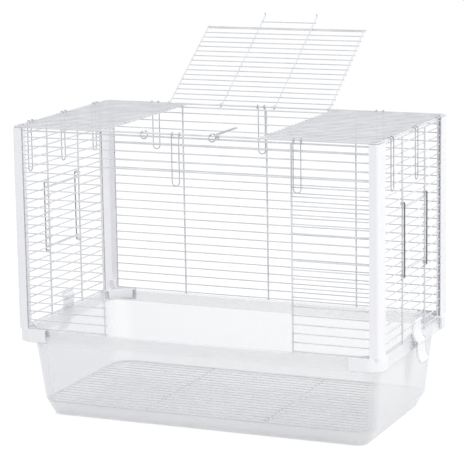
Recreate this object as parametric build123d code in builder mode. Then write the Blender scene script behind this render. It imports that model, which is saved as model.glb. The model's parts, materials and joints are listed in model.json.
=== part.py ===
from build123d import *
import os

# A wire bird cage that stands on a deep clear tub.
# Millimetres, +Z up, the front towards -Y. The origin is the middle of the tub's underside.

# Overall sizes
cage_width = 600.0
cage_depth = 325.0
tub_height = 144.0
wall_height = 322.0

# Tub
tub_wall = 2.4
tub_floor = 2.4
lip_overhang = 8.0
lip_height = 20.0
lip_thick = 2.4
lip_step = 1.0
lip_step_drop = 9.0
lip_corner = 20.0
tub_taper = 12.0
tub_corner = 34.0
base_slope_height = 26.0
base_slope_inset = 16.0
base_corner = 14.0

# Wires of the walls and roof
bar_dia = 2.0
upright_dia = 2.8
top_wire_dia = 2.4
edge_dia = 3.0
edge_corner = 6.0
weld_sink = 0.4
bar_pitch = 13.8
first_bar_lift = 3.0
wall_top_drop = 5.6
wire_inset = 3.0
bar_overhang = 2.0

# Corner posts and their feet
post_front = 15.0
post_side = 30.0
post_thick = 6.0
post_corner = 4.0
post_slot = 3.6
post_slot_depth = 6.0
foot_front = 50.0
foot_side = 38.0
foot_wall = 3.0
foot_gap = 0.4
foot_skirt = 18.0
foot_plate = 2.0
foot_reach = 9.0
peg_size = 7.0
peg_height = 14.0
peg_gap = 0.2

# Doorway and uprights of the walls
doorway_left = -149.0
doorway_right = 164.0
bars_over_doorway = 4
back_uprights = (-158.0, -8.0, 147.0)
side_upright = 53.0

# Roof opening, its lid and the catch in front of the lid
roof_left = -154.0
roof_right = 112.0
roof_pitch_goal = 14.0
lid_left = -183.0
lid_right = 101.0
lid_length = 205.0
lid_bar_pitch = 12.3
lid_wire_dia = 2.2
lid_first_bar = 5.0
lid_open_angle = 146.0
eye_gap = 0.35
eye_turn = 250.0
tab_length = 16.0
tab_hook_length = 14.0
tab_hook_width = 5.0
catch_left = 44.0
catch_width = 4.0
catch_length = 72.0
catch_bend = 1.8
catch_dia = 1.8

# Rings that tie the roof's front wire to the front wall's top wire
ring_places = (-75.0, 37.5)
ring_radius = 6.2
ring_dia = 1.8
ring_skew = 35.0
ring_turn = 345.0

# Long clips that hang from the roof's edge wires
clip_dia = 1.8
clip_width = 12.0
clip_length = 78.0
clip_bend = 5.5
front_clips = (-22.0, 174.0)
back_clips = (-208.0, -17.0, 188.0)
side_clips = (-98.0, 8.0, 113.0)

# Side doors
door_bottom_row = 8
door_top_row = 15
door_shift = 4.0
door_bar_gap = 0.5
door_edge_dia = 2.4
door_edge_past_bar = 6.5
door_curl = 3.0
door_curl_turn = 220.0
door_eye_dia = 2.0
door_eye_gap = 0.4
door_hook_turn = 150.0

# Wire grate on the tub's sloped base
grate_gap = 2.8
grate_corner = 30.0
grate_cross = 100.0
grate_cross_short = 0.6
grate_seat_gap = 0.05

# Latches on the tub's ends
latch_width = 34.0
latch_place = 8.0
latch_pin_dia = 4.0
latch_pin_gap = 0.05
latch_barrel_dia = 9.0
latch_out = 5.5
latch_drop = 9.0
latch_side_gap = 0.5
latch_lip_gap = 1.0
latch_bar_gap = 0.4
latch_plate = 3.2
latch_bead = 0.3
latch_rise = 24.0
latch_nose = 7.0
latch_tail_drop = 38.0
latch_tail_out = 13.5
latch_belly = 2.2
latch_flare_out = 4.0
latch_flare_up = 5.5
lug_thick = 5.0
lug_out = 10.5
lug_height = 12.0

# Places that follow from the sizes above
half_w = cage_width / 2
half_d = cage_depth / 2
rim_z = tub_height
roof_z = rim_z + wall_height
wall_top_z = roof_z - wall_top_drop
foot_top_z = rim_z + foot_plate
wall_y = half_d - wire_inset
wall_x = half_w - wire_inset
bar_end_x = half_w - post_front + post_slot_depth
bar_end_y = half_d - post_side + post_slot_depth
frame_x = half_w - edge_dia / 2
frame_y = half_d - edge_dia / 2
upright_out = (bar_dia + upright_dia) / 2 - weld_sink
upright_foot_z = rim_z + first_bar_lift - bar_dia
row_room = wall_top_z - rim_z - first_bar_lift - 2 * bar_dia
row_count = int(row_room / bar_pitch) + 1
rows = [rim_z + first_bar_lift + bar_pitch * row for row in range(row_count)]

parts = {}


def keep(name, part):
    """Label a finished piece and remember it under its name."""
    part.label = name
    parts[name] = part


def rods_x(x_from, x_to, places, diameter):
    """Round rods along X, one at each (y, z)."""
    with BuildSketch(Plane(origin=(x_from, 0, 0), x_dir=(0, 1, 0), z_dir=(1, 0, 0))) as ends:
        with Locations(*places):
            Circle(diameter / 2)
    extrude(ends.sketch, amount=x_to - x_from)


def rods_y(y_from, y_to, places, diameter):
    """Round rods along Y, one at each (x, z)."""
    with BuildSketch(Plane(origin=(0, y_from, 0), x_dir=(-1, 0, 0), z_dir=(0, 1, 0))) as ends:
        with Locations(*[(-x, z) for x, z in places]):
            Circle(diameter / 2)
    extrude(ends.sketch, amount=y_to - y_from)


def rods_z(z_from, z_to, places, diameter):
    """Round rods along Z, one at each (x, y)."""
    with BuildSketch(Plane.XY.offset(z_from)) as ends:
        with Locations(*places):
            Circle(diameter / 2)
    extrude(ends.sketch, amount=z_to - z_from)


def wire_along(path, diameter):
    """Round wire along a path."""
    with BuildSketch(Plane(origin=path @ 0, z_dir=path % 0)) as end:
        Circle(diameter / 2)
    sweep(end.sketch, path=path)


def closed_wire(points, radius, diameter):
    """A closed wire frame through points, its corners rounded."""
    with BuildLine() as route:
        FilletPolyline(*points, radius=radius, close=True)
    wire_along(route.wires()[0], diameter)


def open_eye(pivot, facing, across, ring_radius, start):
    """The line of an eye bent round a wire that runs through pivot."""
    ring = CenterArc((0, 0), ring_radius, start, eye_turn, mode=Mode.PRIVATE)
    add(Plane(origin=pivot, x_dir=facing, z_dir=across) * ring)


lying_along_y = (90, 0, 0)
loop_corners = [(-1, -1), (1, -1), (1, 1), (-1, 1)]


# Tub: a tapered shell on a sloped base, with a turned-down lip that has a step
def tub_outline(height):
    """Half sizes and corner radius of the tub's outside at a height."""
    if height < base_slope_height:
        share = height / base_slope_height
        inset = lip_overhang + tub_taper + base_slope_inset * (1 - share)
        corner = base_corner + (tub_corner - base_corner) * share
    else:
        share = (height - base_slope_height) / (tub_height - base_slope_height)
        inset = lip_overhang + tub_taper * (1 - share)
        corner = tub_corner
    return half_w - inset, half_d - inset, corner


def tub_section(height, inward):
    """The tub's outline at a height, drawn in by a wall."""
    half_x, half_y, corner = tub_outline(height)
    with BuildSketch(Plane.XY.offset(height)) as section:
        RectangleRounded(2 * (half_x - inward), 2 * (half_y - inward), corner - inward)
    return section.sketch


def lip_ring(z_from, outer_inset):
    """A ring of the lip's skirt, from a height up to the rim."""
    inner_inset = lip_step + lip_thick
    with BuildSketch(Plane.XY.offset(z_from)) as ring:
        RectangleRounded(
            2 * (half_w - outer_inset), 2 * (half_d - outer_inset), lip_corner - outer_inset
        )
        RectangleRounded(
            2 * (half_w - inner_inset),
            2 * (half_d - inner_inset),
            lip_corner - inner_inset,
            mode=Mode.SUBTRACT,
        )
    extrude(ring.sketch, amount=rim_z - z_from)


lug_y = latch_width / 2 + latch_side_gap + lug_thick / 2
pin_x = half_w + latch_out
pin_z = rim_z - latch_drop
pin_length = latch_width + 2 * latch_side_gap + 2 * lug_thick

with BuildPart() as tub:
    loft([tub_section(0, 0), tub_section(base_slope_height, 0)], ruled=True)
    loft([tub_section(base_slope_height, 0), tub_section(tub_height, 0)], ruled=True)
    lip_ring(rim_z - lip_height, lip_step)
    lip_ring(rim_z - lip_step_drop, 0)
    with BuildSketch(Plane.XY.offset(rim_z - lip_thick)):
        RectangleRounded(cage_width, cage_depth, lip_corner)
    extrude(amount=lip_thick)
    for side in (-1, 1):
        lug_x = side * (half_w + (lug_out - lip_step) / 2)
        with Locations(*[(lug_x, latch_place + end * lug_y, pin_z) for end in (-1, 1)]):
            Box(lug_out + lip_step, lug_thick, lug_height)
        with Locations(Location((side * pin_x, latch_place, pin_z), lying_along_y)):
            Cylinder(latch_pin_dia / 2, pin_length, mode=Mode.SUBTRACT)
    loft(
        [tub_section(tub_floor, tub_wall), tub_section(base_slope_height, tub_wall)],
        ruled=True,
        mode=Mode.SUBTRACT,
    )
    loft(
        [tub_section(base_slope_height, tub_wall), tub_section(tub_height, tub_wall)],
        ruled=True,
        mode=Mode.SUBTRACT,
    )
keep("tub", tub.part)


# Grate: a framed wire mesh that rests on the slope just under the tub's walls
crease_x, crease_y, crease_corner = tub_outline(base_slope_height)
grate_x = crease_x - tub_wall - grate_gap
grate_y = crease_y - tub_wall - grate_gap
slope_length = (base_slope_height**2 + base_slope_inset**2) ** 0.5
grate_lift = (edge_dia / 2 + grate_seat_gap) * slope_length - grate_gap * base_slope_height
grate_z = base_slope_height + grate_lift / base_slope_inset
grate_bars = int(2 * grate_y / bar_pitch)
grate_step = 2 * grate_y / grate_bars
grate_rows = [-grate_y + grate_step * row for row in range(1, grate_bars)]

with BuildPart() as floor_grate:
    grate_frame = [(side * grate_x, end * grate_y, grate_z) for side, end in loop_corners]
    closed_wire(grate_frame, grate_corner, edge_dia)
    for y in grate_rows:
        into_corner = max(0.0, grate_corner - grate_y + abs(y))
        short = grate_corner - (grate_corner**2 - into_corner**2) ** 0.5
        rods_x(short - grate_x, grate_x - short, [(y, grate_z)], bar_dia)
    cross_z = grate_z - upright_out
    cross_end = grate_y - grate_cross_short
    rods_y(-cross_end, cross_end, [(x, cross_z) for x in (-grate_cross, grate_cross)], upright_dia)
keep("floor_grate", floor_grate.part)


# Corner posts: angle sections with a slot in each arm for the ends of the wall bars
corners = {
    "front_left": (-1, -1),
    "front_right": (1, -1),
    "back_left": (-1, 1),
    "back_right": (1, 1),
}
post_top_z = roof_z - edge_dia / 2

for corner_name, (side, end) in corners.items():
    with BuildPart() as post:
        with BuildSketch(Plane.XY.offset(foot_top_z)):
            with Locations((side * (half_w - post_front / 2), end * (half_d - post_side / 2))):
                Rectangle(post_front, post_side)
            hollow_x = side * (half_w - post_thick - post_front / 2)
            hollow_y = end * (half_d - post_thick - post_side / 2)
            with Locations((hollow_x, hollow_y)):
                Rectangle(post_front, post_side, mode=Mode.SUBTRACT)
            slot_x = side * (bar_end_x - post_slot_depth / 2)
            with Locations((slot_x, end * wall_y)):
                Rectangle(post_slot_depth, post_slot, mode=Mode.SUBTRACT)
            slot_y = end * (bar_end_y - post_slot_depth / 2)
            with Locations((side * wall_x, slot_y)):
                Rectangle(post_slot, post_slot_depth, mode=Mode.SUBTRACT)
        extrude(amount=post_top_z - foot_top_z)
        outer_edge = post.edges().filter_by(Axis.Z).sort_by_distance((side * half_w, end * half_d, rim_z))
        fillet(outer_edge[0], post_corner)
    keep("post_" + corner_name, post.part)


# Corner feet: shoes that wrap the tub's rim under each post
foot_out_x = half_w + foot_gap + foot_wall
foot_out_y = half_d + foot_gap + foot_wall
foot_out_corner = lip_corner + foot_gap + foot_wall
peg_x = half_w - post_thick - peg_gap - peg_size / 2
peg_y = half_d - post_thick - peg_gap - peg_size / 2


for corner_name, (side, end) in corners.items():
    with BuildPart() as foot:
        with BuildSketch(Plane.XY.offset(rim_z - foot_skirt)):
            RectangleRounded(2 * foot_out_x, 2 * foot_out_y, foot_out_corner)
            RectangleRounded(
                2 * (half_w + foot_gap),
                2 * (half_d + foot_gap),
                lip_corner + foot_gap,
                mode=Mode.SUBTRACT,
            )
            with Locations(
                (side * (foot_out_x - foot_front / 2), end * (foot_out_y - foot_side / 2))
            ):
                Rectangle(foot_front, foot_side, mode=Mode.INTERSECT)
        extrude(amount=foot_skirt + foot_plate)
        with BuildSketch(Plane.XY.offset(rim_z)):
            RectangleRounded(2 * foot_out_x, 2 * foot_out_y, foot_out_corner)
            Rectangle(2 * (half_w - foot_reach), 2 * (half_d - foot_reach), mode=Mode.SUBTRACT)
            with Locations(
                (side * (foot_out_x - foot_front / 2), end * (foot_out_y - foot_side / 2))
            ):
                Rectangle(foot_front, foot_side, mode=Mode.INTERSECT)
        extrude(amount=foot_plate)
        with BuildSketch(Plane.XY.offset(rim_z)):
            with Locations((side * peg_x, end * peg_y)):
                Rectangle(peg_size, peg_size)
        extrude(amount=foot_plate + peg_height)
    keep("foot_" + corner_name, foot.part)


# Front wall: bars round a full-height doorway, with full-width bars above it
doorway_rows = rows[:-bars_over_doorway]
front_upright_y = -wall_y - upright_out

with BuildPart() as front_panel:
    rods_x(-bar_end_x, bar_end_x, [(-wall_y, z) for z in rows[-bars_over_doorway:]], bar_dia)
    rods_x(-bar_end_x, bar_end_x, [(-wall_y, wall_top_z)], top_wire_dia)
    low_rows = [(-wall_y, z) for z in doorway_rows]
    rods_x(-bar_end_x, doorway_left + bar_overhang, low_rows, bar_dia)
    rods_x(doorway_right - bar_overhang, bar_end_x, low_rows, bar_dia)
    front_uprights = [(x, front_upright_y) for x in (doorway_left, doorway_right)]
    rods_z(upright_foot_z, wall_top_z, front_uprights, upright_dia)
keep("front_panel", front_panel.part)


# Back wall
with BuildPart() as back_panel:
    rods_x(-bar_end_x, bar_end_x, [(wall_y, z) for z in rows], bar_dia)
    rods_x(-bar_end_x, bar_end_x, [(wall_y, wall_top_z)], top_wire_dia)
    rear_uprights = [(x, wall_y + upright_out) for x in back_uprights]
    rods_z(upright_foot_z, wall_top_z, rear_uprights, upright_dia)
keep("back_panel", back_panel.part)


# Side walls: the rows between the door's two edge rows stop at the uprights
hatch_rows = rows[door_bottom_row + 1 : door_top_row]
full_rows = [z for z in rows if z not in hatch_rows]

for side, name in ((-1, "left_panel"), (1, "right_panel")):
    with BuildPart() as side_panel:
        wall = side * wall_x
        rods_y(-bar_end_y, bar_end_y, [(wall, z) for z in full_rows], bar_dia)
        rods_y(-bar_end_y, bar_end_y, [(wall, wall_top_z)], top_wire_dia)
        short_rows = [(wall, z) for z in hatch_rows]
        rods_y(-bar_end_y, bar_overhang - side_upright, short_rows, bar_dia)
        rods_y(side_upright - bar_overhang, bar_end_y, short_rows, bar_dia)
        side_uprights = [(wall + side * upright_out, end * side_upright) for end in (-1, 1)]
        rods_z(upright_foot_z, wall_top_z, side_uprights, upright_dia)
    keep(name, side_panel.part)


# Roof: an edge frame with bars on both sides of an open middle
roof_steps = round(2 * frame_y / roof_pitch_goal)
roof_step = 2 * frame_y / roof_steps
roof_rows = [-frame_y + roof_step * row for row in range(1, roof_steps)]
roof_cross_z = roof_z - upright_out

with BuildPart() as roof_panel:
    roof_frame = [(side * frame_x, end * frame_y, roof_z) for side, end in loop_corners]
    closed_wire(roof_frame, edge_corner, edge_dia)
    roof_places = [(y, roof_z) for y in roof_rows]
    rods_x(-frame_x, roof_left + bar_overhang, roof_places, bar_dia)
    rods_x(roof_right - bar_overhang, frame_x, roof_places, bar_dia)
    rods_y(-frame_y, frame_y, [(x, roof_cross_z) for x in (roof_left, roof_right)], upright_dia)
keep("roof_panel", roof_panel.part)


# Lid: made shut, with its hinge line on the X axis, then swung open on the roof's back wire
lid_eye_radius = (edge_dia + lid_wire_dia) / 2 + eye_gap
lid_bar_z = lid_eye_radius + (lid_wire_dia + bar_dia) / 2 - weld_sink
lid_width = lid_right - lid_left
lid_wires = [lid_left + lid_width * share / 3 for share in range(4)]
lid_rows = int((lid_length - lid_first_bar) / lid_bar_pitch) + 1
lid_bars = [-lid_first_bar - lid_bar_pitch * row for row in range(lid_rows)]

tab_end = -lid_length - tab_length

with BuildPart() as lid_shut:
    for number, x in enumerate(lid_wires):
        hooked = number in (1, 2)
        far_end = tab_end - tab_hook_length if hooked else -lid_length
        with BuildLine(Plane(origin=(x, 0, 0), x_dir=(0, 1, 0), z_dir=(1, 0, 0))) as run:
            CenterArc((0, 0), lid_eye_radius, 90 - eye_turn, eye_turn)
            Line((0, lid_eye_radius), (far_end, lid_eye_radius))
            if hooked:
                curl = tab_hook_width / 2
                CenterArc((far_end, lid_eye_radius - curl), curl, 90, 180)
        wire_along(run.wires()[0], lid_wire_dia)
    bar_places = [(y, lid_bar_z) for y in lid_bars + [-lid_length]]
    rods_x(lid_left - bar_overhang, lid_right + bar_overhang, bar_places, bar_dia)
    tab_bar = [(tab_end, lid_bar_z)]
    rods_x(lid_wires[1] - bar_overhang, lid_wires[2] + bar_overhang, tab_bar, bar_dia)

with BuildPart() as lid:
    add(lid_shut.part.rotate(Axis.X, -lid_open_angle).moved(Location((0, frame_y, roof_z))))
keep("lid", lid.part)


# Catch: a narrow wire hairpin hinged on the roof's front wire, which folds over the shut lid
catch_eye_radius = (edge_dia + catch_dia) / 2 + eye_gap
catch_z = roof_z + catch_eye_radius
catch_right = catch_left + catch_width

with BuildPart() as lid_catch:
    with BuildLine() as catch_route:
        FilletPolyline(
            (catch_left, -frame_y, catch_z),
            (catch_left, catch_length - frame_y, catch_z),
            (catch_right, catch_length - frame_y, catch_z),
            (catch_right, -frame_y, catch_z),
            radius=catch_bend,
        )
        for x in (catch_left, catch_right):
            open_eye((x, -frame_y, roof_z), (0, 1, 0), (1, 0, 0), catch_eye_radius, 90)
    wire_along(catch_route.wires()[0], catch_dia)
keep("lid_catch", lid_catch.part)


# Rings: open wire rings bent shut round the roof's front wire and the wall's top wire
ring_y = -(frame_y + wall_y) / 2
ring_z = (roof_z + wall_top_z) / 2

for x, name in zip(ring_places, ("wall_ring_left", "wall_ring_right")):
    across = Vector(1, 0, 0).rotate(Axis.Z, -ring_skew)
    with BuildPart() as wall_ring:
        with BuildLine(Plane(origin=(x, ring_y, ring_z), x_dir=(0, 0, 1), z_dir=across)) as bend:
            CenterArc((0, 0), ring_radius, 0, ring_turn)
        wire_along(bend.wires()[0], ring_dia)
    keep(name, wall_ring.part)


# Clips: long hairpins with an eye at each leg's top, hung on the roof's edge wires
clip_eye_radius = (edge_dia + clip_dia) / 2 + eye_gap


def hanging_clip(middle, facing):
    """A clip whose two eyes ride on an edge wire, either side of middle."""
    facing = Vector(facing)
    along = facing.cross(Vector(0, 0, 1))
    hung = [Vector(middle) + along * reach * clip_width / 2 for reach in (-1, 1)]
    legs = [pivot + facing * clip_eye_radius for pivot in hung]
    drop = Vector(0, 0, -clip_length)
    with BuildLine() as route:
        FilletPolyline(legs[0], legs[0] + drop, legs[1] + drop, legs[1], radius=clip_bend)
        for pivot in hung:
            open_eye(pivot, facing, along, clip_eye_radius, 0)
    wire_along(route.wires()[0], clip_dia)


side_places = [min(roof_rows, key=lambda y: abs(y - place)) for place in side_clips]
clip_sets = (
    ("front", [(x, -frame_y, roof_z) for x in front_clips], (0, -1, 0)),
    ("back", [(x, frame_y, roof_z) for x in back_clips], (0, 1, 0)),
    ("left", [(-frame_x, y, roof_z) for y in side_places], (-1, 0, 0)),
    ("right", [(frame_x, y, roof_z) for y in side_places], (1, 0, 0)),
)

for wall_name, places, facing in clip_sets:
    for number, place in enumerate(places, start=1):
        with BuildPart() as clip:
            hanging_clip(place, facing)
        keep(f"roof_clip_{wall_name}_{number}", clip.part)


# Side doors: a small grille on two wires with curled ends, hung by eyes on the rear upright
upright_x = wall_x + upright_out
door_bar_x = upright_x + upright_dia / 2 + door_bar_gap + bar_dia / 2
leg_x = door_bar_x + (bar_dia + door_edge_dia) / 2 - weld_sink
door_eye_radius = (upright_dia + door_eye_dia) / 2 + door_eye_gap
door_rows = rows[door_bottom_row : door_top_row + 1]
hinge_leg_y = side_upright - door_shift
free_leg_y = -side_upright - door_shift
leg_low_z = door_rows[0] - door_edge_past_bar
leg_high_z = door_rows[-1] + door_edge_past_bar
eye_heights = (door_rows[0] - bar_pitch / 2, door_rows[-1] + bar_pitch / 2)


def side_door():
    """The right-hand door."""
    for leg_y in (hinge_leg_y, free_leg_y):
        with BuildLine(Plane(origin=(leg_x, leg_y, 0), x_dir=(1, 0, 0), z_dir=(0, -1, 0))) as leg:
            Line((0, leg_low_z), (0, leg_high_z))
            CenterArc((-door_curl, leg_high_z), door_curl, 0, door_curl_turn)
            CenterArc((-door_curl, leg_low_z), door_curl, 0, -door_curl_turn)
        wire_along(leg.wires()[0], door_edge_dia)
    door_places = [(door_bar_x, z) for z in door_rows]
    rods_y(free_leg_y - bar_overhang, hinge_leg_y + bar_overhang, door_places, bar_dia)
    reach_x = leg_x - upright_x
    reach = (reach_x**2 + door_shift**2) ** 0.5
    for z in eye_heights:
        with Locations((upright_x, side_upright, z)):
            Torus(door_eye_radius, door_eye_dia / 2)
        for pivot_y in (-side_upright, side_upright):
            strut_dir = Vector(reach_x, -door_shift, 0).normalized()
            strut_from = Vector(upright_x, pivot_y, z) + strut_dir * door_eye_radius
            with BuildSketch(Plane(origin=strut_from, z_dir=strut_dir)) as strut:
                Circle(door_eye_dia / 2)
            extrude(strut.sketch, amount=reach - door_eye_radius)
        with BuildLine() as hook:
            CenterArc((upright_x, -side_upright, z), door_eye_radius, -door_hook_turn / 2, door_hook_turn)
        wire_along(hook.wires()[0], door_eye_dia)


with BuildPart() as right_door:
    side_door()
keep("right_door", right_door.part)

with BuildPart() as left_door:
    mirror(right_door.part, about=Plane.YZ)
keep("left_door", left_door.part)


# Latches: rocking levers on pins through the tub's lugs
nose_x = wall_x + bar_dia / 2 + latch_bar_gap
plate_in = half_w + latch_lip_gap
plate_mid = plate_in + latch_plate / 2
head_z = rim_z + latch_rise
tail_x = half_w + latch_tail_out
tail_z = rim_z - latch_tail_drop

with BuildPart() as latch_right:
    with BuildSketch(Plane.XZ.offset(-latch_place - latch_width / 2)) as lever:
        with BuildLine() as spine:
            Spline(
                (plate_mid, head_z),
                (plate_mid, pin_z + latch_barrel_dia),
                (pin_x + latch_belly / 2, pin_z - latch_barrel_dia / 2),
                (pin_x + latch_belly, (pin_z + tail_z) / 2),
                (tail_x - latch_flare_out, tail_z + latch_flare_up),
                (tail_x, tail_z),
            )
        trace(line_width=latch_plate)
        with Locations((tail_x, tail_z), (plate_mid, head_z)):
            Circle(latch_plate / 2 + latch_bead)
        with BuildLine() as nose:
            Polyline(
                (plate_mid, head_z - latch_nose),
                (nose_x, head_z - latch_nose),
                (nose_x, head_z - latch_plate),
                (plate_mid, head_z),
                close=True,
            )
        make_face()
    extrude(lever.sketch, amount=latch_width)
    with Locations(Location((pin_x, latch_place, pin_z), lying_along_y)):
        Cylinder(latch_barrel_dia / 2, latch_width)
        Cylinder(latch_pin_dia / 2 + latch_pin_gap, latch_width, mode=Mode.SUBTRACT)
keep("latch_right", latch_right.part)

with BuildPart() as latch_left:
    mirror(latch_right.part, about=Plane.YZ)
keep("latch_left", latch_left.part)

for side, name in ((-1, "latch_pin_left"), (1, "latch_pin_right")):
    with BuildPart() as pin:
        with Locations(Location((side * pin_x, latch_place, pin_z), lying_along_y)):
            Cylinder(latch_pin_dia / 2, pin_length)
    keep(name, pin.part)


os.makedirs("parts", exist_ok=True)
for name, part in parts.items():
    export_step(part, f"parts/{name}.step")
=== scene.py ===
import json
from math import asin, cos, pi, radians, sin

import bmesh
import bpy
from mathutils import Matrix, Vector


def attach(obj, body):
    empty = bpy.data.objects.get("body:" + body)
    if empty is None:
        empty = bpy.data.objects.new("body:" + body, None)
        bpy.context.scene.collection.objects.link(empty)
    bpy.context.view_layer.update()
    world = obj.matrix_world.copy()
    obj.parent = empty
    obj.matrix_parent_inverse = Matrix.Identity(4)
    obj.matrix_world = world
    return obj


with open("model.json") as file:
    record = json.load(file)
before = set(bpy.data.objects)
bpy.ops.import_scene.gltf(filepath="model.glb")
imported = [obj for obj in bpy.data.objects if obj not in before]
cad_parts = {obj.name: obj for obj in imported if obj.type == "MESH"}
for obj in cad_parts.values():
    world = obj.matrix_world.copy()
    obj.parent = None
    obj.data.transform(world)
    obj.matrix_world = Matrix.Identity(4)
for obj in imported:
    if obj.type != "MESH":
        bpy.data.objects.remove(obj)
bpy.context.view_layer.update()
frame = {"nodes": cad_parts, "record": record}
nodes = frame["nodes"]
scene = bpy.context.scene


# Camera: the photograph's angle
PHOTO_WIDTH = 464
FOCAL_PIXELS = 2157.59
SENSOR_WIDTH = 36.0
FAR_CLIP = 50
EYE = Vector((1.32555, -3.06681, 0.93591))
YAW = radians(23.411)
PITCH = radians(11.004)
ROLL = radians(-0.909)


def make_camera():
    """The camera, from its place and its three angles."""
    ahead = Vector((-sin(YAW) * cos(PITCH), cos(YAW) * cos(PITCH), -sin(PITCH)))
    level_right = Vector((cos(YAW), sin(YAW), 0))
    level_up = level_right.cross(ahead)
    right = cos(ROLL) * level_right + sin(ROLL) * level_up
    up = cos(ROLL) * level_up - sin(ROLL) * level_right
    data = bpy.data.cameras.new("camera")
    data.sensor_fit = "HORIZONTAL"
    data.sensor_width = SENSOR_WIDTH
    data.lens = SENSOR_WIDTH * FOCAL_PIXELS / PHOTO_WIDTH
    data.clip_end = FAR_CLIP
    camera = bpy.data.objects.new("camera", data)
    turn = Matrix((right, up, -ahead)).transposed()
    camera.matrix_world = Matrix.Translation(EYE) @ turn.to_4x4()
    scene.collection.objects.link(camera)
    scene.camera = camera


# Colours of the materials, each from dull to clean
WIRE_DULL = (0.66, 0.665, 0.685)
WIRE_CLEAN = (0.78, 0.785, 0.8)
PLASTIC_DULL = (0.885, 0.88, 0.905)
PLASTIC_CLEAN = (0.94, 0.94, 0.955)
CLEAR_DULL = (0.9, 0.905, 0.925)
CLEAR_CLEAN = (0.94, 0.945, 0.955)
STEEL_DULL = (0.46, 0.46, 0.48)
STEEL_CLEAN = (0.62, 0.62, 0.64)

# Clear plastic: how its cover grows from seen face on to seen edge on
CLEAR_EDGE = 0.4
CLEAR_FACE_ALPHA = 0.17
CLEAR_EDGE_ALPHA = 0.75
CLEAR_IOR = 1.49

# Dark steel on the side doors' outer wires, deepened to near-black as painted shade: colour,
# metal share, and where it starts, in metres off the middle
DOOR_STEEL_PAINTED_SHADE = (0.14, 0.14, 0.15)
DOOR_METAL = 0.6
DOOR_OUTER_X = 0.3029
DOOR_OUTER_BLEND = 0.0002

# The part of a noise texture's range that the materials use
NOISE_LOW = 0.3
NOISE_HIGH = 0.7

# Sockets of a colour Mix node
MIX_FACTOR, MIX_FIRST, MIX_SECOND = 0, 6, 7
MIX_RESULT = 2


# Materials
def new_material(name):
    """A new node material, with its node tree and its Principled shader."""
    material = bpy.data.materials.new(name)
    material.use_nodes = True
    tree = material.node_tree
    shader = tree.nodes["Principled BSDF"]
    return material, tree, shader


def add_node(tree, kind, **values):
    """A node with its input values set by name."""
    node = tree.nodes.new(kind)
    for key, value in values.items():
        node.inputs[key.replace("_", " ")].default_value = value
    return node


def noise_at(tree, scale, detail, rough=0.5, stretch=(1, 1, 1)):
    """A noise texture on object coordinates."""
    place = tree.nodes.new("ShaderNodeTexCoord")
    mapping = tree.nodes.new("ShaderNodeMapping")
    mapping.inputs["Scale"].default_value = stretch
    noise = add_node(tree, "ShaderNodeTexNoise", Scale=scale, Detail=detail, Roughness=rough)
    tree.links.new(place.outputs["Object"], mapping.inputs["Vector"])
    tree.links.new(mapping.outputs["Vector"], noise.inputs["Vector"])
    return noise.outputs["Fac"]


def ranged(tree, value, low, high, from_low=NOISE_LOW, from_high=NOISE_HIGH):
    """Map a value onto a range."""
    node = add_node(
        tree,
        "ShaderNodeMapRange",
        From_Min=from_low,
        From_Max=from_high,
        To_Min=low,
        To_Max=high,
    )
    tree.links.new(value, node.inputs["Value"])
    return node.outputs["Result"]


def tinted(tree, value, low, high):
    """Blend two colours by a texture's value."""
    ramp = tree.nodes.new("ShaderNodeValToRGB")
    ramp.color_ramp.elements[0].position = NOISE_LOW
    ramp.color_ramp.elements[1].position = NOISE_HIGH
    ramp.color_ramp.elements[0].color = (*low, 1)
    ramp.color_ramp.elements[1].color = (*high, 1)
    tree.links.new(value, ramp.inputs["Fac"])
    return ramp.outputs["Color"]


def bumped(tree, shader, value, strength, distance):
    """Raise the surface by a texture's value."""
    bump = add_node(tree, "ShaderNodeBump", Strength=strength, Distance=distance)
    tree.links.new(value, bump.inputs["Height"])
    tree.links.new(bump.outputs["Normal"], shader.inputs["Normal"])


def coated_wire():
    """White powder coat on wire: a fine pebbled skin with faint grime."""
    material, tree, shader = new_material("coated_wire")
    grime = noise_at(tree, scale=35.0, detail=4.0)
    tree.links.new(tinted(tree, grime, WIRE_DULL, WIRE_CLEAN), shader.inputs["Base Color"])
    pebbles = noise_at(tree, scale=1800.0, detail=2.0)
    tree.links.new(ranged(tree, pebbles, low=0.26, high=0.42), shader.inputs["Roughness"])
    bumped(tree, shader, pebbles, strength=0.25, distance=0.00008)
    shader.inputs["Coat Weight"].default_value = 0.35
    shader.inputs["Coat Roughness"].default_value = 0.12
    return material


def white_plastic():
    """Moulded white plastic: fine texture, faint flow marks and a soft gloss."""
    material, tree, shader = new_material("white_plastic")
    flow = noise_at(tree, scale=9.0, detail=4.0, rough=0.55, stretch=(1, 1, 0.25))
    tree.links.new(tinted(tree, flow, PLASTIC_DULL, PLASTIC_CLEAN), shader.inputs["Base Color"])
    grain = noise_at(tree, scale=900.0, detail=3.0)
    tree.links.new(ranged(tree, grain, low=0.3, high=0.4), shader.inputs["Roughness"])
    bumped(tree, shader, grain, strength=0.12, distance=0.00006)
    shader.inputs["Subsurface Weight"].default_value = 0.08
    shader.inputs["Subsurface Scale"].default_value = 0.003
    return material


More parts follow.
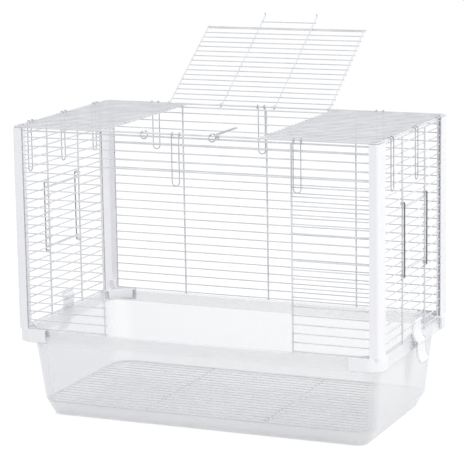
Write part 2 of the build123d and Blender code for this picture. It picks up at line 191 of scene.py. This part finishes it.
def clear_plastic():
    """Clear moulded plastic: milky and cool, denser where seen edge on, with mould waves."""
    material, tree, shader = new_material("clear_plastic")
    waves = noise_at(tree, scale=5.0, detail=2.0, rough=0.45, stretch=(1, 1, 0.6))
    tree.links.new(tinted(tree, waves, CLEAR_DULL, CLEAR_CLEAN), shader.inputs["Base Color"])
    haze = noise_at(tree, scale=22.0, detail=5.0, rough=0.6)
    tree.links.new(ranged(tree, haze, low=0.1, high=0.2), shader.inputs["Roughness"])
    bumped(tree, shader, waves, strength=0.04, distance=0.0006)
    edge_on = add_node(tree, "ShaderNodeLayerWeight", Blend=CLEAR_EDGE)
    cover = ranged(
        tree,
        edge_on.outputs["Facing"],
        low=CLEAR_FACE_ALPHA,
        high=CLEAR_EDGE_ALPHA,
        from_low=0.0,
        from_high=1.0,
    )
    tree.links.new(cover, shader.inputs["Alpha"])
    shader.inputs["IOR"].default_value = CLEAR_IOR
    return material


def zinc_steel():
    """Dull zinc-plated wire: grey metal with fine lines and cloudy plating."""
    material, tree, shader = new_material("zinc_steel")
    cloud = noise_at(tree, scale=120.0, detail=4.0)
    tree.links.new(tinted(tree, cloud, STEEL_DULL, STEEL_CLEAN), shader.inputs["Base Color"])
    lines = noise_at(tree, scale=700.0, detail=3.0, stretch=(1, 1, 0.08))
    tree.links.new(ranged(tree, lines, low=0.28, high=0.46), shader.inputs["Roughness"])
    bumped(tree, shader, lines, strength=0.1, distance=0.00005)
    shader.inputs["Metallic"].default_value = 0.85
    return material


def door_wire_painted_shade():
    """The coated wire, with near-black steel on the door's outer wires: painted shade over a
    steel colour.
    """
    material = coated_wire()
    material.name = "door_wire_painted_shade"
    tree = material.node_tree
    shader = tree.nodes["Principled BSDF"]
    place = tree.nodes.new("ShaderNodeTexCoord")
    split = tree.nodes.new("ShaderNodeSeparateXYZ")
    tree.links.new(place.outputs["Object"], split.inputs["Vector"])
    reach = tree.nodes.new("ShaderNodeMath")
    reach.operation = "ABSOLUTE"
    tree.links.new(split.outputs["X"], reach.inputs[0])
    outer = ranged(
        tree,
        reach.outputs["Value"],
        low=0.0,
        high=1.0,
        from_low=DOOR_OUTER_X,
        from_high=DOOR_OUTER_X + DOOR_OUTER_BLEND,
    )
    white = shader.inputs["Base Color"].links[0].from_socket
    blend = tree.nodes.new("ShaderNodeMix")
    blend.data_type = "RGBA"
    tree.links.new(outer, blend.inputs[MIX_FACTOR])
    tree.links.new(white, blend.inputs[MIX_FIRST])
    # Near-black steel colour on the door's outer wires: painted shade for the dark look and
    # shadow of these wires
    blend.inputs[MIX_SECOND].default_value = (*DOOR_STEEL_PAINTED_SHADE, 1)
    tree.links.new(blend.outputs[MIX_RESULT], shader.inputs["Base Color"])
    metal = tree.nodes.new("ShaderNodeMath")
    metal.operation = "MULTIPLY"
    tree.links.new(outer, metal.inputs[0])
    metal.inputs[1].default_value = DOOR_METAL
    tree.links.new(metal.outputs["Value"], shader.inputs["Metallic"])
    return material


materials = {
    "coated_wire": coated_wire(),
    "white_plastic": white_plastic(),
    "clear_plastic": clear_plastic(),
    "zinc_steel": zinc_steel(),
    "door_wire_painted_shade": door_wire_painted_shade(),
}
slot_of = {row["node"]: row["material_slot"] for row in frame["record"]["subparts"]}


def dress_nodes():
    """Give every node from the frame its detailed material."""
    for name, node in nodes.items():
        node.data.materials.clear()
        # Door nodes take the coated wire with painted shade on their outer wires
        slot = "door_wire_painted_shade" if name.endswith("_door") else slot_of[name]
        node.data.materials.append(materials[slot])


# Thicknesses and places of the wires, in metres, and counts of bars
MM = 0.001
BAR_DIA = 2.0 * MM
UPRIGHT_DIA = 2.8 * MM
DOOR_EDGE_DIA = 2.4 * MM
LID_WIRE_DIA = 2.2 * MM
BAR_PITCH = 13.8 * MM
ROW_LOW = 147.0 * MM
ROW_COUNT = 23
BARS_OVER_DOORWAY = 4
WALL_TOP = 460.4 * MM
WALL_X = 297.0 * MM
WALL_Y = 159.5 * MM
UPRIGHT_OUT = 2.0 * MM
UPRIGHT_FOOT = 145.0 * MM
DOORWAY = (-149.0 * MM, 164.0 * MM)
BACK_UPRIGHTS = (-158.0 * MM, -8.0 * MM, 147.0 * MM)
SIDE_UPRIGHT = 53.0 * MM
HATCH_ROWS = range(9, 15)
DOOR_ROWS = range(8, 16)
DOOR_BAR_X = 301.9 * MM
DOOR_EDGES = (-57.0 * MM, 49.0 * MM)
ROOF_Z = 466.0 * MM
ROOF_EDGES = (-154.0 * MM, 112.0 * MM)
ROOF_STEP = 14.0 * MM
ROOF_HALF_COUNT = 11
BAR_OVERHANG = 2.0 * MM
GRATE_CROSS = 100.0 * MM
GRATE_Z = 24.4 * MM
GRATE_STEP = 14.45 * MM
GRATE_ROWS = range(-8, 9)
rows = [ROW_LOW + BAR_PITCH * row for row in range(ROW_COUNT)]
roof_rows = [ROOF_STEP * (row - ROOF_HALF_COUNT + 0.5) for row in range(2 * ROOF_HALF_COUNT)]

# The lid: its hinge, and places in its own frame, where the shut lid runs towards -y
LID_HINGE = Vector((0, 161.0 * MM, 466.0 * MM))
LID_OPEN = radians(-146.0)
LID_LENGTH = 205.0 * MM
LID_WIRE_Z = 2.95 * MM
LID_BAR_Z = 4.65 * MM
TAB_BAR = -221.0 * MM

# The lid's long wires and cross bars, in millimetres
LID_LEFT = -183.0
LID_WIDTH = 284.0
LID_GAPS = 3
LID_FIRST_BAR = 5.0
LID_BAR_STEP = 12.3
LID_BAR_COUNT = 17
lid_wires = [(LID_LEFT + LID_WIDTH * gap / LID_GAPS) * MM for gap in range(LID_GAPS + 1)]
lid_bars = [(-LID_FIRST_BAR - LID_BAR_STEP * row) * MM for row in range(LID_BAR_COUNT)]
lid_bars.append(-LID_LENGTH)

# The right latch's pin, in metres, and its heads' half sizes as shares of its thickness
PIN = Vector((305.5 * MM, 8.0 * MM, 135.0 * MM))
PIN_DIA = 4.0 * MM
PIN_HALF = 22.5 * MM
PIN_HEAD_WIDE = 0.75
PIN_HEAD_DEEP = 0.35

# Welds and wire ends: their thickness as a share of the wire's, and how finely they are round
WELD_SPREAD = 1.12
DOME_SWELL = 1.04
SWELL_SEGMENTS = 12
SWELL_RINGS = 7


def mesh_piece(name, mesh):
    """A smooth object from a bmesh."""
    bmesh.ops.recalc_face_normals(mesh, faces=mesh.faces)
    data = bpy.data.meshes.new(name)
    mesh.to_mesh(data)
    mesh.free()
    for face in data.polygons:
        face.use_smooth = True
    piece = bpy.data.objects.new(name, data)
    scene.collection.objects.link(piece)
    return piece


def body_piece(name, mesh, body, slot):
    """A finished detail piece that rides on a body."""
    piece = mesh_piece(name, mesh)
    piece.data.materials.append(materials[slot])
    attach(piece, body)


def swell(mesh, centre, radii):
    """A small rounded swelling: an ellipsoid of three half sizes."""
    spot = Matrix.Translation(centre) @ Matrix.Diagonal((*radii, 1))
    bmesh.ops.create_uvsphere(
        mesh, u_segments=SWELL_SEGMENTS, v_segments=SWELL_RINGS, radius=1.0, matrix=spot
    )


def weld(mesh, centre, wire_a, wire_b):
    """The melted lump where two crossing wires meet."""
    radius = WELD_SPREAD * min(wire_a, wire_b) / 2
    swell(mesh, centre, (radius, radius, radius))


def dome(mesh, centre, diameter):
    """The rounded, coated end of a cut wire."""
    radius = DOME_SWELL * diameter / 2
    swell(mesh, centre, (radius, radius, radius))


def front_wall_details(mesh):
    """Welds and wire ends of the front wall."""
    touch = -WALL_Y - BAR_DIA / 2
    for number, z in enumerate(rows):
        for side, x in zip((1, -1), DOORWAY):
            weld(mesh, (x, touch, z), BAR_DIA, UPRIGHT_DIA)
            if number < ROW_COUNT - BARS_OVER_DOORWAY:
                dome(mesh, (x + side * BAR_OVERHANG, -WALL_Y, z), BAR_DIA)
    for x in DOORWAY:
        dome(mesh, (x, -WALL_Y - UPRIGHT_OUT, UPRIGHT_FOOT), UPRIGHT_DIA)
        dome(mesh, (x, -WALL_Y - UPRIGHT_OUT, WALL_TOP), UPRIGHT_DIA)


def back_wall_details(mesh):
    """Welds and wire ends of the back wall."""
    for x in BACK_UPRIGHTS:
        for z in rows:
            weld(mesh, (x, WALL_Y + BAR_DIA / 2, z), BAR_DIA, UPRIGHT_DIA)
        dome(mesh, (x, WALL_Y + UPRIGHT_OUT, UPRIGHT_FOOT), UPRIGHT_DIA)
        dome(mesh, (x, WALL_Y + UPRIGHT_OUT, WALL_TOP), UPRIGHT_DIA)


def side_wall_details(mesh, side):
    """Welds and wire ends of an end wall."""
    for end in (-1, 1):
        y = end * SIDE_UPRIGHT
        for number, z in enumerate(rows):
            weld(mesh, (side * (WALL_X + BAR_DIA / 2), y, z), BAR_DIA, UPRIGHT_DIA)
            if number in HATCH_ROWS:
                dome(mesh, (side * WALL_X, y - end * BAR_OVERHANG, z), BAR_DIA)
        dome(mesh, (side * (WALL_X + UPRIGHT_OUT), y, UPRIGHT_FOOT), UPRIGHT_DIA)
        dome(mesh, (side * (WALL_X + UPRIGHT_OUT), y, WALL_TOP), UPRIGHT_DIA)


def roof_details(mesh):
    """Welds and wire ends of the roof."""
    for side, x in zip((1, -1), ROOF_EDGES):
        for y in roof_rows:
            weld(mesh, (x, y, ROOF_Z - BAR_DIA / 2), BAR_DIA, UPRIGHT_DIA)
            dome(mesh, (x + side * BAR_OVERHANG, y, ROOF_Z), BAR_DIA)


def lid_details(mesh):
    """Welds and wire ends of the lid, placed on the open lid."""
    turn = Matrix.Rotation(LID_OPEN, 3, "X")
    touch = (LID_WIRE_Z + LID_WIRE_DIA / 2 + LID_BAR_Z - BAR_DIA / 2) / 2

    def on_lid(x, y, z):
        """A place in the lid's own frame, on the open lid."""
        return LID_HINGE + turn @ Vector((x, y, z))

    left, right = lid_wires[0], lid_wires[-1]
    for y in lid_bars:
        for x in lid_wires:
            weld(mesh, on_lid(x, y, touch), BAR_DIA, LID_WIRE_DIA)
        for x in (left - BAR_OVERHANG, right + BAR_OVERHANG):
            dome(mesh, on_lid(x, y, LID_BAR_Z), BAR_DIA)
    for x in (left, right):
        dome(mesh, on_lid(x, -LID_LENGTH, LID_WIRE_Z), LID_WIRE_DIA)
    for side, x in zip((-1, 1), lid_wires[1:-1]):
        weld(mesh, on_lid(x, TAB_BAR, touch), BAR_DIA, LID_WIRE_DIA)
        dome(mesh, on_lid(x + side * BAR_OVERHANG, TAB_BAR, LID_BAR_Z), BAR_DIA)


def door_details(mesh, side):
    """Welds and wire ends of a side door."""
    touch = side * (DOOR_BAR_X + BAR_DIA / 2)
    for row in DOOR_ROWS:
        for end, y in zip((-1, 1), DOOR_EDGES):
            weld(mesh, (touch, y, rows[row]), BAR_DIA, DOOR_EDGE_DIA)
            dome(mesh, (side * DOOR_BAR_X, y + end * BAR_OVERHANG, rows[row]), BAR_DIA)


def grate_details(mesh):
    """Welds of the floor grate, on all but its front row."""
    for x in (-GRATE_CROSS, GRATE_CROSS):
        for row in GRATE_ROWS:
            y = GRATE_STEP * (row + 0.5)
            weld(mesh, (x, y, GRATE_Z - BAR_DIA / 2), BAR_DIA, UPRIGHT_DIA)


def pin_details(mesh):
    """Domed heads on the ends of both latch pins."""
    radii = (PIN_DIA * PIN_HEAD_WIDE, PIN_DIA * PIN_HEAD_DEEP, PIN_DIA * PIN_HEAD_WIDE)
    for side in (-1, 1):
        for end in (-1, 1):
            swell(mesh, Vector((side * PIN.x, PIN.y + end * PIN_HALF, PIN.z)), radii)


def wire_details():
    """All welds, wire ends and pin heads, one piece for each body and wall."""
    pieces = {
        "front_wall_welds": (front_wall_details, "cage", "coated_wire"),
        "back_wall_welds": (back_wall_details, "cage", "coated_wire"),
        "left_wall_welds": (lambda mesh: side_wall_details(mesh, -1), "cage", "coated_wire"),
        "right_wall_welds": (lambda mesh: side_wall_details(mesh, 1), "cage", "coated_wire"),
        "roof_welds": (roof_details, "cage", "coated_wire"),
        "lid_welds": (lid_details, "roof_lid", "coated_wire"),
        "left_door_welds": (lambda mesh: door_details(mesh, -1), "door_left", "coated_wire"),
        "right_door_welds": (lambda mesh: door_details(mesh, 1), "door_right", "coated_wire"),
        "grate_welds": (grate_details, "grate", "coated_wire"),
        "pin_heads": (pin_details, "base", "zinc_steel"),
    }
    for name, (fill, body, slot) in pieces.items():
        mesh = bmesh.new()
        fill(mesh)
        body_piece(name, mesh, body, slot)


# The part of each foot that folds over the rim and down the tub's inside, in metres
HALF_W = 300.0 * MM
HALF_D = 162.5 * MM
TUB_INSET = 8.0 * MM
TUB_CORNER = 34.0 * MM
FOOT_END_X = 253.4 * MM
FOOT_END_Y = 127.9 * MM
HOOK_TOP = 146.0 * MM
HOOK_SEAT = 144.1 * MM
HOOK_LOW = 131.0 * MM
HOOK_START = 8.9 * MM
HOOK_WALL = 10.8 * MM
HOOK_THICK = 1.6 * MM
HOOK_LEAN = 1.4 * MM
HOOK_ROUND = 0.5 * MM
HOOK_ROUND_STEPS = 2
HOOK_SHARP = radians(30)
HOOK_ARC_STEPS = 14


def hook_ring(inset, height):
    """Points of one corner at an inset from the rim, from the end wall round to the long wall."""
    radius = TUB_CORNER + TUB_INSET - inset
    centre = Vector((HALF_W - TUB_INSET - TUB_CORNER, HALF_D - TUB_INSET - TUB_CORNER, height))
    start = asin((FOOT_END_Y - centre.y) / radius)
    sweep = pi / 2 - start
    turns = [start + sweep * step / HOOK_ARC_STEPS for step in range(HOOK_ARC_STEPS + 1)]
    points = [centre + Vector((radius * cos(turn), radius * sin(turn), 0)) for turn in turns]
    return points + [Vector((FOOT_END_X, centre.y + radius, height))]


def foot_hook(name, side, end):
    """A white plate over the rim with a short skirt inside it, for one foot."""
    section = [
        (HOOK_START, HOOK_TOP),
        (HOOK_WALL + HOOK_THICK, HOOK_TOP),
        (HOOK_WALL + HOOK_THICK + HOOK_LEAN, HOOK_LOW),
        (HOOK_WALL + HOOK_LEAN, HOOK_LOW),
        (HOOK_WALL, HOOK_SEAT),
        (HOOK_START, HOOK_SEAT),
    ]
    mesh = bmesh.new()
    rails = []
    for inset, height in section:
        points = [Vector((side * p.x, end * p.y, p.z)) for p in hook_ring(inset, height)]
        rails.append([mesh.verts.new(point) for point in points])
    for rail, after in zip(rails, rails[1:] + rails[:1]):
        for spot in range(len(rail) - 1):
            mesh.faces.new((rail[spot], rail[spot + 1], after[spot + 1], after[spot]))
    mesh.faces.new([rail[0] for rail in rails])
    mesh.faces.new([rail[-1] for rail in rails])
    bmesh.ops.recalc_face_normals(mesh, faces=mesh.faces)
    corners = [edge for edge in mesh.edges if edge.calc_face_angle(0) > HOOK_SHARP]
    bmesh.ops.bevel(
        mesh,
        geom=corners,
        offset=HOOK_ROUND,
        segments=HOOK_ROUND_STEPS,
        affect="EDGES",
        profile=0.5,
    )
    body_piece(name, mesh, "cage", "white_plastic")


def foot_hooks():
    """The inner hooks of all four feet."""
    for end_name, end in (("front", -1), ("back", 1)):
        for side_name, side in (("left", -1), ("right", 1)):
            foot_hook(f"foot_hook_{end_name}_{side_name}", side, end)


# Floor and world: sizes in metres, colours and strengths
FLOOR_SIZE = 30.0
FLOOR_DROP = 0.0002
FLOOR_PLAIN = (0.8, 0.8, 0.8, 1)
FLOOR_SHADED = (0.3, 0.3, 0.3, 1)
FLOOR_GLOW = 0.78
WHITE = (1, 1, 1, 1)
WORLD_TINT = (0.97, 0.98, 1, 1)
WORLD_LIGHT = 0.74

# Lamps: place and side in metres, power in watts
LAMPS = {
    "key": ((2.4, -0.6, 3.2), 1.6, 60.0),
    "fill": ((-2.2, -2.8, 1.6), 2.0, 17.0),
}
LAMP_AIM = Vector((0, 0, 0.25))


def seen_directly(tree):
    """1 for rays from the camera, a reflection or a refraction, otherwise 0."""
    path = tree.nodes.new("ShaderNodeLightPath")
    total = path.outputs["Is Camera Ray"]
    for name in ("Is Glossy Ray", "Is Transmission Ray"):
        either = tree.nodes.new("ShaderNodeMath")
        either.operation = "MAXIMUM"
        tree.links.new(total, either.inputs[0])
        tree.links.new(path.outputs[name], either.inputs[1])
        total = either.outputs["Value"]
    return total


def floor_material():
    """Pale floor that looks white and keeps the object's shadow."""
    material = bpy.data.materials.new("floor_white")
    material.use_nodes = True
    tree = material.node_tree
    tree.nodes.clear()
    plain = add_node(tree, "ShaderNodeBsdfDiffuse", Color=FLOOR_PLAIN)
    shaded = add_node(tree, "ShaderNodeBsdfDiffuse", Color=FLOOR_SHADED)
    glow = add_node(tree, "ShaderNodeEmission", Color=WHITE, Strength=FLOOR_GLOW)
    both = tree.nodes.new("ShaderNodeAddShader")
    tree.links.new(shaded.outputs["BSDF"], both.inputs[0])
    tree.links.new(glow.outputs["Emission"], both.inputs[1])
    pick = tree.nodes.new("ShaderNodeMixShader")
    tree.links.new(seen_directly(tree), pick.inputs["Fac"])
    tree.links.new(plain.outputs["BSDF"], pick.inputs[1])
    tree.links.new(both.outputs["Shader"], pick.inputs[2])
    out = tree.nodes.new("ShaderNodeOutputMaterial")
    tree.links.new(pick.outputs["Shader"], out.inputs["Surface"])
    return material


def make_floor():
    """The floor plane, just under the tub."""
    half = FLOOR_SIZE / 2
    mesh = bpy.data.meshes.new("floor")
    corners = [(-half, -half), (half, -half), (half, half), (-half, half)]
    mesh.from_pydata([(x, y, -FLOOR_DROP) for x, y in corners], [], [(0, 1, 2, 3)])
    mesh.materials.append(floor_material())
    floor = bpy.data.objects.new("floor", mesh)
    scene.collection.objects.link(floor)


def make_world():
    """White where it is looked at, soft and plain as a light."""
    world = bpy.data.worlds.new("studio")
    world.use_nodes = True
    tree = world.node_tree
    tree.nodes.clear()
    seen = add_node(tree, "ShaderNodeBackground", Color=WHITE, Strength=1.0)
    light = add_node(tree, "ShaderNodeBackground", Color=WORLD_TINT, Strength=WORLD_LIGHT)
    pick = tree.nodes.new("ShaderNodeMixShader")
    tree.links.new(seen_directly(tree), pick.inputs["Fac"])
    tree.links.new(light.outputs["Background"], pick.inputs[1])
    tree.links.new(seen.outputs["Background"], pick.inputs[2])
    out = tree.nodes.new("ShaderNodeOutputWorld")
    tree.links.new(pick.outputs["Shader"], out.inputs["Surface"])
    scene.world = world


def make_lamp(name, place, size, power):
    """A square soft lamp aimed at the cage."""
    data = bpy.data.lights.new(name, "AREA")
    data.shape = "SQUARE"
    data.size = size
    data.energy = power
    lamp = bpy.data.objects.new(name, data)
    turn = (LAMP_AIM - Vector(place)).to_track_quat("-Z", "Y").to_matrix()
    lamp.matrix_world = Matrix.Translation(place) @ turn.to_4x4()
    scene.collection.objects.link(lamp)


make_camera()
dress_nodes()
wire_details()
foot_hooks()
make_floor()
make_world()
for lamp_name, (place, size, power) in LAMPS.items():
    make_lamp(lamp_name, place, size, power)
scene.view_settings.view_transform = "Standard"
